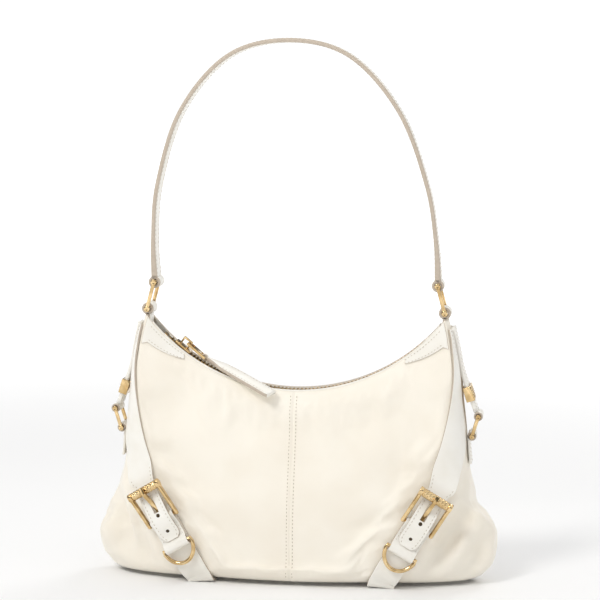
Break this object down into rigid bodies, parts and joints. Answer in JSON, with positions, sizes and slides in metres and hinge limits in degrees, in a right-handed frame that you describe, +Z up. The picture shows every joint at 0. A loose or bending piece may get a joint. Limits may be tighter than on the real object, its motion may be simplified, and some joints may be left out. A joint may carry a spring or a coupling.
{
  "type": "hobo bag",
  "caption": "Small soft shoulder hobo bag with a curved zip mouth, buckled leather belts down its edges and a flat leather handle on metal links.",
  "frame": {"origin": "on the floor under the middle of the bag", "axes": "+X to the bag's right side seen from the front, +Y to the back, +Z up"},
  "size_m": [0.3022, 0.0926, 0.4031],
  "materials": {
    "fabric": "satin ivory nylon",
    "leather": "smooth white leather with painted taupe edges",
    "lining": "plain woven cotton",
    "zip_tape": "woven tape",
    "board": "plain stiffener",
    "metal": "polished pale gold plating"
  },
  "bodies": {
    "bag": {"front_panel_left": "fabric", "front_panel_right": "fabric", "back_panel_left": "fabric", "back_panel_right": "fabric", "side_panel_left": "fabric", "side_panel_right": "fabric", "base_panel": "fabric", "base_board": "board", "lining": "lining", "inner_pocket": "lining", "mouth_trim_front": "leather", "mouth_trim_back": "leather", "zip_tape_front": "zip_tape", "zip_tape_back": "zip_tape", "zip_teeth_front": "metal", "zip_teeth_back": "metal", "zip_stops": "metal", "corner_patches_front": "leather", "corner_patches_back": "leather", "lower_strap_left": "leather", "side_strap_left": "leather", "side_tab_left": "leather", "side_link_left": "metal", "lower_strap_right": "leather", "side_strap_right": "leather", "side_tab_right": "leather", "side_link_right": "metal", "belt_front_left": "leather", "buckle_chape_front_left": "leather", "belt_front_right": "leather", "buckle_chape_front_right": "leather", "belt_back_left": "leather", "buckle_chape_back_left": "leather", "belt_back_right": "leather", "buckle_chape_back_right": "leather"},
    "corner_tabs": {"corner_tab_left": "leather", "corner_tab_right": "leather"},
    "link_left": {"handle_link_left": "metal"},
    "link_right": {"handle_link_right": "metal"},
    "handle": {"handle_strap": "leather"},
    "zip_slider": {"zip_slider": "metal"},
    "pull_link": {"pull_link": "metal"},
    "pull_tab": {"pull_tab": "leather"},
    "frame_front_left": {"buckle_frame_front_left": "metal"},
    "prong_front_left": {"buckle_prong_front_left": "metal"},
    "ring_front_left": {"d_ring_front_left": "metal"},
    "frame_front_right": {"buckle_frame_front_right": "metal"},
    "prong_front_right": {"buckle_prong_front_right": "metal"},
    "ring_front_right": {"d_ring_front_right": "metal"},
    "frame_back_left": {"buckle_frame_back_left": "metal"},
    "prong_back_left": {"buckle_prong_back_left": "metal"},
    "ring_back_left": {"d_ring_back_left": "metal"},
    "frame_back_right": {"buckle_frame_back_right": "metal"},
    "prong_back_right": {"buckle_prong_back_right": "metal"},
    "ring_back_right": {"d_ring_back_right": "metal"},
    "keeper_left": {"side_keeper_left": "metal"},
    "keeper_right": {"side_keeper_right": "metal"}
  },
  "joints": [
    {"name": "handle_fall", "type": "hinge", "parent": "bag", "child": "corner_tabs", "pos_m": [0, 0, 0.1951], "axis": [1, 0, 0], "range_deg": [-15, 15]},
    {"name": "link_left_sway", "type": "hinge", "parent": "corner_tabs", "child": "link_left", "pos_m": [-0.1115, 0, 0.2021], "axis": [0, 1, 0], "range_deg": [-10, 10]},
    {"name": "link_right_sway", "type": "hinge", "parent": "corner_tabs", "child": "link_right", "pos_m": [0.1115, 0, 0.2021], "axis": [0, 1, 0], "range_deg": [-10.2, 10.2]},
    {"name": "handle_sway", "type": "hinge", "parent": "link_left", "child": "handle", "pos_m": [-0.10614, 0, 0.22209], "axis": [0, 1, 0], "range_deg": [-11, 11]},
    {"name": "zip_slide", "type": "hinge", "parent": "bag", "child": "zip_slider", "pos_m": [0, 0, 0.28262], "axis": [0, -1, 0], "range_deg": [0, 44]},
    {"name": "pull_lift", "type": "hinge", "parent": "zip_slider", "child": "pull_link", "pos_m": [-0.08181, 0, 0.17532], "axis": [0, -1, 0], "range_deg": [0, 75]},
    {"name": "pull_bend", "type": "hinge", "parent": "pull_link", "child": "pull_tab", "pos_m": [-0.06955, 0, 0.16503], "axis": [0, -1, 0], "range_deg": [0, 25]},
    {"name": "frame_tilt_front_left", "type": "hinge", "parent": "bag", "child": "frame_front_left", "pos_m": [-0.09465, -0.03767, 0.04841], "axis": [0.8515, -0.0697, 0.5197], "range_deg": [0, 5]},
    {"name": "prong_lift_front_left", "type": "hinge", "parent": "frame_front_left", "child": "prong_front_left", "pos_m": [-0.09465, -0.03767, 0.04841], "axis": [0.8515, -0.0697, 0.5197], "range_deg": [0, 4]},
    {"name": "ring_swing_front_left", "type": "hinge", "parent": "bag", "child": "ring_front_left", "pos_m": [-0.08342, -0.04024, 0.02967], "axis": [-0.8515, 0.0697, -0.5197], "range_deg": [0, 100]},
    {"name": "frame_tilt_front_right", "type": "hinge", "parent": "bag", "child": "frame_front_right", "pos_m": [0.09465, -0.03767, 0.04841], "axis": [0.8515, 0.0697, -0.5197], "range_deg": [0, 5]},
    {"name": "prong_lift_front_right", "type": "hinge", "parent": "frame_front_right", "child": "prong_front_right", "pos_m": [0.09465, -0.03767, 0.04841], "axis": [0.8515, 0.0697, -0.5197], "range_deg": [0, 4]},
    {"name": "ring_swing_front_right", "type": "hinge", "parent": "bag", "child": "ring_front_right", "pos_m": [0.08342, -0.04024, 0.02967], "axis": [-0.8515, -0.0697, 0.5197], "range_deg": [0, 100]},
    {"name": "frame_tilt_back_left", "type": "hinge", "parent": "bag", "child": "frame_back_left", "pos_m": [-0.09465, 0.03767, 0.04841], "axis": [-0.8515, -0.0697, -0.5197], "range_deg": [0, 5]},
    {"name": "prong_lift_back_left", "type": "hinge", "parent": "frame_back_left", "child": "prong_back_left", "pos_m": [-0.09465, 0.03767, 0.04841], "axis": [-0.8515, -0.0697, -0.5197], "range_deg": [0, 4]},
    {"name": "ring_swing_back_left", "type": "hinge", "parent": "bag", "child": "ring_back_left", "pos_m": [-0.08342, 0.04024, 0.02967], "axis": [0.8515, 0.0697, 0.5197], "range_deg": [0, 100]},
    {"name": "frame_tilt_back_right", "type": "hinge", "parent": "bag", "child": "frame_back_right", "pos_m": [0.09465, 0.03767, 0.04841], "axis": [-0.8515, 0.0697, 0.5197], "range_deg": [0, 5]},
    {"name": "prong_lift_back_right", "type": "hinge", "parent": "frame_back_right", "child": "prong_back_right", "pos_m": [0.09465, 0.03767, 0.04841], "axis": [-0.8515, 0.0697, 0.5197], "range_deg": [0, 4]},
    {"name": "ring_swing_back_right", "type": "hinge", "parent": "bag", "child": "ring_back_right", "pos_m": [0.08342, 0.04024, 0.02967], "axis": [0.8515, -0.0697, -0.5197], "range_deg": [0, 100]},
    {"name": "keeper_slide_left", "type": "slide", "parent": "bag", "child": "keeper_left", "axis": [0.306, 0, 0.952], "range_m": [-0.004, 0.006]},
    {"name": "keeper_slide_right", "type": "slide", "parent": "bag", "child": "keeper_right", "axis": [-0.306, 0, 0.952], "range_m": [-0.004, 0.006]}
  ],
  "couplings": [
    {"joint": "link_right_sway", "follows": "link_left_sway", "ratio": 1},
    {"joint": "handle_sway", "follows": "link_left_sway", "ratio": -1.0505}
  ]
}
